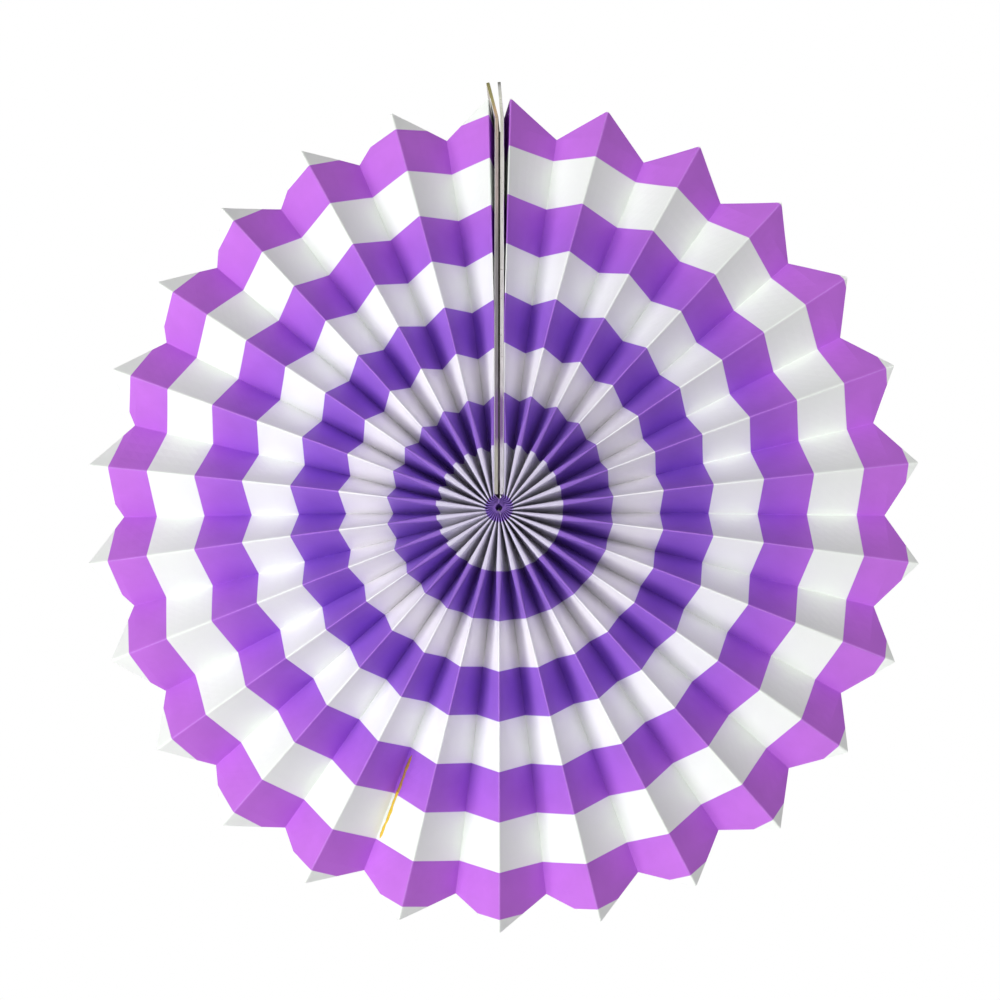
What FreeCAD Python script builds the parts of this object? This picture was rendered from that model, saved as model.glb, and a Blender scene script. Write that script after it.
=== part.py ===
import FreeCAD, Part
import math
import os
import Sketcher
from types import SimpleNamespace
from FreeCAD import Placement, Rotation, Vector

# Paper fan rosette: a strip of pleated paper opened into a full disc. Its two ends are
# glued to stiff cards, and tape between the cards closes the seam at the top.
# The disc stands in the XZ plane with its printed front towards -Y and the seam along +Z.
# The origin is the middle of the hub. Angles run clockwise from the seam, seen from the front.

doc = FreeCAD.newDocument("PaperFanRosette")
sheet = doc.addObject("Spreadsheet::Sheet", "Sizes")

# Driving dimensions in millimetres and degrees, with what each one measures
driving_sizes = [
    ("tip_radius", 200, "hub centre to the tip of a tooth"),
    ("tooth_depth", 13, "tip down to notch on the zigzag edge"),
    ("rim_depth", 18, "ridge to valley, front to back, at the tips"),
    ("hub_radius", 1.7, "hole left where the pleats meet"),
    ("ridge_count", 27, "folds that stand to the front"),
    ("paper_thickness", 0.18, "printed paper"),
    ("fold_spans", 7, "straight lengths that make up a curved fold"),
    ("seam_angle", 1.55, "seam to the first ridge, at the rim"),
    ("seam_gap", 0.2, "least air between an end panel and its neighbour"),
    ("hub_gap", 0.1, "air between the two end panels at the hub"),
    ("settle_share", 0.8, "what one fold passes on of the card's straightness"),
    ("card_thickness", 1.5, "greyboard end card"),
    ("card_foot", 6, "hub centre to the lower end of the cards"),
    ("foot_clearance", 0.5, "end panels are straight from this far below the cards"),
    ("card_rise", 9, "cards above the tips"),
    ("card_corner", 4, "radius of the cards' upper corners"),
    ("crease_drop", 10, "crease across the cards, below the tips"),
    ("left_lean", 14, "left card above its crease, towards -X"),
    ("right_lean", 4.5, "right card above its crease, towards -X"),
    ("hole_radius", 1.5, "hanging hole through both cards"),
    ("hole_rise", 4.5, "hanging hole above the tips"),
    ("tape_thickness", 1, "foam tape between the cards"),
    ("tape_inset", 4, "tape edge back from the cards' long edges"),
    ("tape_foot", 12, "hub centre to the lower end of the tape"),
    ("tape_drop", 6, "upper end of the tape, below the crease"),
    ("thread_radius", 0.25, "thread that gathers the pleats"),
    ("thread_ring_radius", 3.4, "hub centre to the middle of the thread"),
    ("thread_clearance", 0.15, "punched hole round the thread"),
    ("glue_valley", 15, "valley with the glue line, counted clockwise from the seam"),
    ("glue_drop", 30, "outer end of the glue line, below the tips"),
    ("glue_length", 43, "glue line along its fold"),
    ("glue_width", 1.6, "glue line across its panel"),
    ("glue_thickness", 0.3, "dried glue on the paper"),
    ("glue_offset", 0.5, "glue line from the fold"),
    ("glue_clearance", 0.15, "glue clear of the twisted paper under it"),
]

# The angle that one panel takes, and the panel's width from fold to fold
panel_angle = "((360 - 2 * Sizes.seam_angle) / (2 * (Sizes.ridge_count - 1)))"
pleat_width = f"sqrt(Sizes.rim_depth^2 + (2 * Sizes.tip_radius * sin({panel_angle} / 2))^2)"
crease_height = "(Sizes.tip_radius - Sizes.crease_drop)"
# The cards lean back by this angle, so that their front edges follow the ridges
card_tilt = f"atan(({pleat_width} - Sizes.rim_depth) / (2 * Sizes.tip_radius))"


def fill_sheet():
    for row, (alias, value, note) in enumerate(driving_sizes, start=1):
        sheet.set(f"A{row}", alias)
        sheet.set(f"B{row}", str(value))
        sheet.set(f"C{row}", note)
        sheet.setAlias(f"B{row}", alias)
    doc.recompute()


def worked_value(formula):
    value = sheet.evalExpression(formula)
    return float(getattr(value, "Value", value))


def read_sizes():
    values = {alias: float(sheet.get(alias)) for alias, _, _ in driving_sizes}
    values["panel_turn"] = math.radians(worked_value(panel_angle))
    values["pleat_width"] = worked_value(pleat_width)
    values["crease_height"] = worked_value(crease_height)
    values["tilt"] = math.radians(worked_value(card_tilt))
    values["notch_radius"] = values["tip_radius"] - values["tooth_depth"]
    values["foot_radius"] = values["card_foot"] - values["foot_clearance"]
    values["last_fold"] = 2 * int(values["ridge_count"]) + 2
    return SimpleNamespace(**values)


# Seam: both cards, the tape and the end panels stand in one upright stack


def tilt_back(point):
    return Rotation(Vector(-1, 0, 0), math.degrees(size.tilt)).multVec(point)


def end_panel_offset(height):
    beside_card = size.tape_thickness / 2 + size.card_thickness + size.paper_thickness / 2
    beside_hub = (size.hub_gap + size.paper_thickness) / 2
    share = (height - size.hub_radius) / (size.foot_radius - size.hub_radius)
    return beside_hub + (beside_card - beside_hub) * min(1, share)


def end_panel_point(side, depth, height):
    x = side * end_panel_offset(height)
    rise = height - size.crease_height
    if rise > 0:
        lean = math.radians(size.right_lean if side > 0 else size.left_lean)
        x -= rise * math.sin(lean)
        height = size.crease_height + rise * math.cos(lean)
    return tilt_back(Vector(x, depth, height))


def first_ridge_offset(radius):
    beside_seam = end_panel_offset(radius) + size.paper_thickness + size.seam_gap
    return max(beside_seam, radius * math.sin(math.radians(size.seam_angle)))


# Folds: even ones are ridges at the front, odd ones are valleys at the back. The first and the
# last are the strip's free edges, and the ones beside them are the back folds of the seam.


def in_seam(fold):
    return fold < 2 or fold > size.last_fold - 2


def fold_angle(fold, radius):
    if in_seam(fold):
        return 0
    start = math.asin(first_ridge_offset(radius) / radius)
    return start + (fold - 2) * (2 * math.pi - 2 * start) / (size.last_fold - 4)


def pleat_depth(radius):
    across = 2 * radius * math.sin(size.panel_turn / 2)
    return math.sqrt(size.pleat_width**2 - across**2)


def card_shift(fold, radius):
    # Depth by which the straight card draws the first ridge off its curve, fading fold by fold
    across = first_ridge_offset(radius) - end_panel_offset(radius)
    back_fold = size.pleat_width / 2 + radius * math.tan(size.tilt)
    first_ridge = back_fold - math.sqrt(size.pleat_width**2 - across**2)
    folds_away = min(fold, size.last_fold - fold) - 2
    return (first_ridge + pleat_depth(radius) / 2) * size.settle_share**folds_away


def fold_point(fold, radius):
    front = -1 if fold % 2 == 0 else 1
    if in_seam(fold):
        side = 1 if fold < 2 else -1
        return end_panel_point(side, front * size.pleat_width / 2, radius)
    angle = fold_angle(fold, radius)
    y = front * pleat_depth(radius) / 2 + card_shift(fold, radius)
    return Vector(radius * math.sin(angle), y, radius * math.cos(angle))


def fold_tangent(fold, radius):
    angle = fold_angle(fold, radius)
    return Vector(math.cos(angle), 0, -math.sin(angle))


def panel_step(panel, radius):
    # Sideways distance across a panel, and half its paper's thickness measured the same way
    step = fold_point(panel + 1, radius) - fold_point(panel, radius)
    sideways = step.dot(fold_tangent(panel, radius))
    slope = sideways / abs(step.y)
    return sideways, size.paper_thickness / 2 * math.sqrt(1 + slope**2)


def fold_corners(fold, radius):
    # Three corners of the folded paper: before and after on its outside, and one inside
    middle = fold_point(fold, radius)
    tangent = fold_tangent(fold, radius)
    if fold == 0:
        _, half = panel_step(0, radius)
        return middle + tangent * half, middle + tangent * half, middle - tangent * half
    if fold == size.last_fold:
        _, half = panel_step(fold - 1, radius)
        return middle - tangent * half, middle - tangent * half, middle + tangent * half
    step_before, half_before = panel_step(fold - 1, radius)
    step_after, half_after = panel_step(fold, radius)
    share = (half_before + half_after) / (step_before + step_after)
    neighbours = (fold_point(fold - 1, radius) + fold_point(fold + 1, radius)) / 2
    inside = middle + (neighbours - middle) * share + tangent * ((half_before - half_after) / 2)
    return middle - tangent * half_before, middle + tangent * half_after, inside


# Pleated paper: one closed sheet of flat triangles, with a printed front and a plain back


def fold_radii():
    length = size.notch_radius - size.foot_radius
    spans = int(size.fold_spans)
    steps = [size.foot_radius + length * step / spans for step in range(spans + 1)]
    return [size.hub_radius] + steps


def fold_lines(radii):
    # For each fold: its before, after and inside lines, from the hub to beyond the tips
    lines = []
    for fold in range(size.last_fold + 1):
        corners = [fold_corners(fold, radius) for radius in radii]
        lines.append(list(zip(*corners)))
    return lines


def panel_sides(lines, panel):
    # The two lines that bound a panel on the printed side, then the two on the plain side
    before, after, inside = 0, 1, 2
    if panel % 2 == 0:
        front, back = (after, inside), (inside, before)
    else:
        front, back = (inside, before), (after, inside)
    return [(lines[panel][first], lines[panel + 1][second]) for first, second in (front, back)]


def add_polygon(triangles, *corners):
    for second, third in zip(corners[1:], corners[2:]):
        triangles.append((corners[0], second, third))


def add_strip(triangles, first, second, rows):
    for row in range(rows):
        add_polygon(triangles, first[row], first[row + 1], second[row + 1], second[row])


def add_tooth(triangles, ridge, valley, notch):
    # A panel above the notches, cut from the tip of the ridge down to the notch in the valley.
    # It has a corner on the cut edge where the cards' crease crosses it.
    crease, tip = notch + 1, notch + 2
    share = (size.tip_radius - size.crease_height) / size.tooth_depth
    on_cut = ridge[crease] + (valley[crease] - ridge[crease]) * share
    add_polygon(triangles, valley[notch], ridge[notch], ridge[crease], on_cut)
    add_polygon(triangles, ridge[crease], ridge[tip], on_cut)
    return [ridge[tip], on_cut, valley[notch]]


def paper_triangles():
    radii = fold_radii()
    notch = len(radii) - 1
    tip = notch + 2
    lines = fold_lines(radii + [size.crease_height, size.tip_radius])
    triangles = []
    for panel in range(size.last_fold):
        cut_edges = []
        sides = panel_sides(lines, panel)
        for first, second in sides:
            add_strip(triangles, first, second, notch)
            ridge, valley = (first, second) if panel % 2 == 0 else (second, first)
            cut_edges.append(add_tooth(triangles, ridge, valley, notch))
        add_strip(triangles, cut_edges[0], cut_edges[1], len(cut_edges[0]) - 1)
        (front_first, front_second), (back_first, back_second) = sides
        add_polygon(triangles, front_first[0], front_second[0], back_second[0], back_first[0])
    for fold, (before, after, inside) in enumerate(lines):
        end = tip if fold % 2 == 0 else notch
        if fold in (0, size.last_fold):
            add_strip(triangles, before, inside, end)
            continue
        add_strip(triangles, before, after, end)
        add_polygon(triangles, before[0], after[0], inside[0])
        add_polygon(triangles, before[end], after[end], inside[end])
    return triangles


def closed_solid(triangles):
    faces = [Part.Face(Part.makePolygon([*corners, corners[0]])) for corners in triangles]
    shell = Part.makeShell(faces)
    shell.sewShape()
    solid = Part.makeSolid(shell)
    if solid.Volume < 0:
        solid.reverse()
    return solid


def make_pleated_paper():
    folded = doc.addObject("Part::Feature", "FoldedSheet")
    folded.Shape = closed_solid(paper_triangles())
    folded.Placement = Placement()
    holes = make_ring("ThreadHoles", "Sizes.thread_radius + Sizes.thread_clearance")
    paper = doc.addObject("Part::Cut", "PleatedPaper")
    paper.Label = "pleated_paper"
    paper.Base = folded
    paper.Tool = holes
    return paper


# Glue line: a dried strip on the front of one panel, beside its valley fold


def line_point(line, radii, radius):
    row = max(index for index, start in enumerate(radii[:-1]) if start <= radius)
    share = (radius - radii[row]) / (radii[row + 1] - radii[row])
    return line[row] + (line[row + 1] - line[row]) * share


def fold_axes(ridge, valley, row):
    # Unit vectors up the panel from its valley and out of its front, on the triangle by the fold
    along = valley[row + 1] - valley[row]
    outward = (ridge[row] - valley[row]).cross(along).normalize()
    if outward.y > 0:
        outward = -outward
    across = along.cross(outward).normalize()
    if across.dot(ridge[row] - valley[row]) < 0:
        across = -across
    return across, outward


def glue_section(ridge, valley, radii, radius):
    # At a vertex of the fold the section lies midway between the triangles on its two sides
    rows = [row for row in range(len(radii) - 1) if radii[row] <= radius <= radii[row + 1]]
    axes = [fold_axes(ridge, valley, row) for row in rows]
    across = sum((pair[0] for pair in axes), Vector()) / len(rows)
    outward = sum((pair[1] for pair in axes), Vector()) / len(rows)
    near = line_point(valley, radii, radius) + across * size.glue_offset + outward * size.glue_clearance
    far = near + across * size.glue_width
    return [near, far, far + outward * size.glue_thickness, near + outward * size.glue_thickness]


def make_glue_line():
    radii = fold_radii()
    ridge, valley = panel_sides(fold_lines(radii), 2 * int(size.glue_valley))[0]
    outer = size.tip_radius - size.glue_drop
    inner = outer - size.glue_length
    stops = [inner] + [radius for radius in radii if inner < radius < outer] + [outer]
    sections = [glue_section(ridge, valley, radii, radius) for radius in stops]
    triangles = []
    for corner in range(4):
        line = [section[corner] for section in sections]
        next_line = [section[(corner + 1) % 4] for section in sections]
        add_strip(triangles, line, next_line, len(stops) - 1)
    add_polygon(triangles, *sections[0])
    add_polygon(triangles, *sections[-1])
    glue = doc.addObject("Part::Feature", "GlueLine")
    glue.Label = "glue_line"
    glue.Shape = closed_solid(triangles)
    glue.Placement = Placement()
    return glue


# Thread: a ring through the punched inner ends of all the pleats


def make_ring(name, section_radius):
    ring = doc.addObject("Part::Torus", name)
    ring.setExpression("Radius1", "Sizes.thread_ring_radius")
    ring.setExpression("Radius2", section_radius)
    ring.Placement = Placement(Vector(), Rotation(Vector(1, 0, 0), 90))
    return ring


def make_thread():
    thread = make_ring("HubThread", "Sizes.thread_radius")
    thread.Label = "hub_thread"
    return thread


# Cards and tape: strips seen edge-on from the front, each as deep as a pleat


def body_plane(body, role):
    return next(plane for plane in body.Origin.OriginFeatures if plane.Role == role)


def add_sketch(body, name, role):
    sketch = body.newObject("Sketcher::SketchObject", name)
    sketch.AttachmentSupport = (body_plane(body, role), [""])
    sketch.MapMode = "FlatFace"
    return sketch


def bind(sketch, kind, places, formula):
    # A driven length or angle of the sketch, tied to the sheet
    value = worked_value(formula)
    if kind == "Angle":
        value = math.radians(value)
    number = sketch.addConstraint(Sketcher.Constraint(kind, *places, value))
    sketch.setExpression(f"Constraints[{number}]", formula)


def add_outline(sketch, corners):
    count = len(corners)
    for index, corner in enumerate(corners):
        following = corners[(index + 1) % count]
        sketch.addGeometry(Part.LineSegment(Vector(*corner, 0), Vector(*following, 0)), False)
    for index in range(count):
        sketch.addConstraint(Sketcher.Constraint("Coincident", index, 2, (index + 1) % count, 1))


def stand_tilted(body):
    body.Placement = Placement(Vector(), Rotation(Vector(-1, 0, 0), math.degrees(size.tilt)))
    body.setExpression("Placement.Rotation.Angle", card_tilt)


def pad_both_ways(body, sketch, formula):
    pad = body.newObject("PartDesign::Pad", sketch.Name + "Pad")
    pad.Profile = sketch
    pad.Midplane = True
    pad.setExpression("Length", formula)
    sketch.Visibility = False
    return pad


def card_outline(sketch, side, lean_name):
    # Bottom, outer face, leaning outer face, top, leaning inner face, inner face
    near = side * size.tape_thickness / 2
    far = near + side * size.card_thickness
    lean = math.radians(getattr(size, lean_name))
    length = size.card_rise + size.crease_drop
    bend = side * size.card_thickness * math.tan(lean / 2)
    top = Vector(far - length * math.sin(lean), size.crease_height + length * math.cos(lean))
    inward = Vector(-side * size.card_thickness * math.cos(lean), -side * size.card_thickness * math.sin(lean))
    corners = [
        (near, size.card_foot),
        (far, size.card_foot),
        (far, size.crease_height),
        (top.x, top.y),
        (top.x + inward.x, top.y + inward.y),
        (near, size.crease_height - bend),
    ]
    add_outline(sketch, corners)
    sketch.addConstraint(Sketcher.Constraint("Horizontal", 0))
    sketch.addConstraint(Sketcher.Constraint("Vertical", 1))
    sketch.addConstraint(Sketcher.Constraint("Vertical", 5))
    sketch.addConstraint(Sketcher.Constraint("Perpendicular", 3, 2))
    sketch.addConstraint(Sketcher.Constraint("Parallel", 4, 2))
    from_axis = (-1, 1, 0, 1) if side > 0 else (0, 1, -1, 1)
    across = (0, 1, 0, 2) if side > 0 else (0, 2, 0, 1)
    bind(sketch, "DistanceX", from_axis, "Sizes.tape_thickness / 2")
    bind(sketch, "DistanceX", across, "Sizes.card_thickness")
    bind(sketch, "DistanceY", (-1, 1, 0, 1), "Sizes.card_foot")
    bind(sketch, "DistanceY", (-1, 1, 1, 2), crease_height)
    bind(sketch, "Distance", (2,), "Sizes.card_rise + Sizes.crease_drop")
    bind(sketch, "Distance", (3,), "Sizes.card_thickness")
    bind(sketch, "Angle", (2,), f"90 + Sizes.{lean_name}")


def upper_corner_edges(shape):
    # The short edges across the thickness, at the card's two upper corners
    def height(edge):
        return edge.CenterOfMass.z

    across = [edge for edge in shape.Edges if abs(edge.Length - size.card_thickness) < 1e-6]
    highest = sorted(across, key=height)[-2:]
    return [f"Edge{index}" for index, edge in enumerate(shape.Edges, start=1)
            if any(edge.isSame(corner) for corner in highest)]


def make_card(name, label, side, lean_name):
    body = doc.addObject("PartDesign::Body", name)
    body.Label = label
    profile = add_sketch(body, name + "Edge", "XZ_Plane")
    card_outline(profile, side, lean_name)
    pad = pad_both_ways(body, profile, pleat_width)
    doc.recompute()

    corners = body.newObject("PartDesign::Fillet", name + "Corners")
    corners.Base = (pad, upper_corner_edges(pad.Shape))
    corners.setExpression("Radius", "Sizes.card_corner")
    body.Tip = corners
    doc.recompute()

    circle = add_sketch(body, name + "HoleCircle", "YZ_Plane")
    circle.addGeometry(Part.Circle(Vector(0, size.tip_radius, 0), Vector(0, 0, 1), size.hole_radius))
    circle.addConstraint(Sketcher.Constraint("PointOnObject", 0, 3, -2))
    bind(circle, "DistanceY", (-1, 1, 0, 3), "Sizes.tip_radius + Sizes.hole_rise")
    bind(circle, "Radius", (0,), "Sizes.hole_radius")
    hole = body.newObject("PartDesign::Pocket", name + "Hole")
    hole.Profile = circle
    hole.Type = 1
    hole.Midplane = True
    circle.Visibility = False
    stand_tilted(body)
    doc.recompute()
    if hole.Shape.Volume >= corners.Shape.Volume:
        raise RuntimeError(label + ": the hanging hole cuts nothing")
    return body


def make_tape():
    body = doc.addObject("PartDesign::Body", "CardTape")
    body.Label = "card_tape"
    profile = add_sketch(body, "TapeEdge", "XZ_Plane")
    half = size.tape_thickness / 2
    top = size.crease_height - size.tape_drop
    add_outline(profile, [(-half, size.tape_foot), (half, size.tape_foot), (half, top), (-half, top)])
    for line in (0, 2):
        profile.addConstraint(Sketcher.Constraint("Horizontal", line))
    for line in (1, 3):
        profile.addConstraint(Sketcher.Constraint("Vertical", line))
    bind(profile, "DistanceX", (0, 1, -1, 1), "Sizes.tape_thickness / 2")
    bind(profile, "DistanceX", (0, 1, 0, 2), "Sizes.tape_thickness")
    bind(profile, "DistanceY", (-1, 1, 0, 1), "Sizes.tape_foot")
    bind(profile, "DistanceY", (-1, 1, 1, 2), f"{crease_height} - Sizes.tape_drop")
    pad_both_ways(body, profile, f"{pleat_width} - 2 * Sizes.tape_inset")
    stand_tilted(body)
    return body


def check_and_write(parts):
    doc.recompute()
    for item in doc.Objects:
        if "Invalid" in item.State or "Error" in item.State:
            raise RuntimeError(f"{item.Label} failed: {item.State}")
    os.makedirs("parts", exist_ok=True)
    for item in parts:
        shape = item.Shape
        if shape.isNull() or not shape.isValid() or len(shape.Solids) != 1:
            raise RuntimeError(f"{item.Label} is not one valid solid")
        shape.exportStep(f"parts/{item.Label}.step")
        print(f"{item.Label}: {shape.Volume:.2f} mm3, {len(shape.Faces)} faces")


fill_sheet()
size = read_sizes()
sub_parts = [
    make_pleated_paper(),
    make_card("LeftCard", "left_end_card", -1, "left_lean"),
    make_card("RightCard", "right_end_card", 1, "right_lean"),
    make_tape(),
    make_thread(),
    make_glue_line(),
]
check_and_write(sub_parts)
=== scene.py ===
import math
import bpy
import bmesh
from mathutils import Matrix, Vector
from mathutils.bvhtree import BVHTree


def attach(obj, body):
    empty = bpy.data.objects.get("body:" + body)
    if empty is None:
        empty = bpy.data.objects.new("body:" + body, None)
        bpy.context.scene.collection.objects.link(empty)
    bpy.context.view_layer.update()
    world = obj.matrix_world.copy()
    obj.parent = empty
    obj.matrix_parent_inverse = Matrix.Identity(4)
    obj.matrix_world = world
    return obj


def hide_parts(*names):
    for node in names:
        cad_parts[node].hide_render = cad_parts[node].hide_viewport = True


# Paper fan rosette: one strip of printed paper, pleated and opened into a disc, with its two
# ends glued to stiff cards at the top. Metres, +Z up, printed front towards -Y.
# Angles run clockwise from the seam, seen from the front.

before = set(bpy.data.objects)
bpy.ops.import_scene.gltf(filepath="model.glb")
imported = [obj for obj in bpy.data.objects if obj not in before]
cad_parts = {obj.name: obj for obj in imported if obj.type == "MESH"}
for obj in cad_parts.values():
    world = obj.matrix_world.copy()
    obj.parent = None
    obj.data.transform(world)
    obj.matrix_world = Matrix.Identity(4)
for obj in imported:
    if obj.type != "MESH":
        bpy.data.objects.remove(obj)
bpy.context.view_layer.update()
print("frame loaded:", sorted(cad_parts))


def linearColour(hexText):
    # sRGB hex to the linear values that shaders and lamps take
    channels = [int(hexText[place:place + 2], 16) / 255 for place in (1, 3, 5)]
    return [c / 12.92 if c <= 0.04045 else ((c + 0.055) / 1.055) ** 2.4 for c in channels] + [1]


def addNode(tree, kind, settings=None, inputs=None):
    # Adds a node, sets its properties, and gives each input a value, or a link from a socket or
    # from a node's first output
    node = tree.nodes.new(kind)
    node.location = (len(tree.nodes) % 12 * 190, len(tree.nodes) // 12 * -280)
    for name, value in (settings or {}).items():
        setattr(node, name, value)
    for socket, value in (inputs or {}).items():
        if isinstance(value, bpy.types.Node):
            value = value.outputs[0]
        if isinstance(value, bpy.types.NodeSocket):
            tree.links.new(value, node.inputs[socket])
        else:
            node.inputs[socket].default_value = value
    return node


def fillRamp(ramp, stops, reach):
    # Gives a colour ramp its stops, each a distance along the reach and a colour
    elements = ramp.color_ramp.elements
    while len(elements) < len(stops):
        elements.new(0.5)
    for element, (distance, colour) in zip(elements, stops):
        element.position = distance / reach
        element.color = linearColour(colour)


def linkToScene(name, data):
    piece = bpy.data.objects.new(name, data)
    bpy.context.scene.collection.objects.link(piece)
    return piece


# Sizes that the paper, its print and the glue share, as the folded strip is made

rosette = {
    "tipRadius": 0.2,
    "toothDepth": 0.013,
    "rimDepth": 0.018,         # ridge to valley, front to back, at the tips
    "hubRadius": 0.0017,
    "ridgeCount": 27,
    "paperThickness": 0.00018,
    "seamAngle": math.radians(1.55),
    "seamGap": 0.0002,
    "hubGap": 0.0001,
    "settleShare": 0.8,        # what one fold passes on of the cards' straightness
    "cardThickness": 0.0015,
    "tapeThickness": 0.001,
    "footRadius": 0.005,       # the end panels reach their full spacing here
    "creaseDrop": 0.01,        # the cards lean from this far below the tips
    "leftLean": math.radians(14),
    "rightLean": math.radians(4.5),
}
lastFold = 2 * rosette["ridgeCount"] + 2
panelTurn = (math.pi - rosette["seamAngle"]) / (rosette["ridgeCount"] - 1)
rimChord = 2 * rosette["tipRadius"] * math.sin(panelTurn / 2)
pleatWidth = math.hypot(rosette["rimDepth"], rimChord)


# Pleated paper

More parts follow.
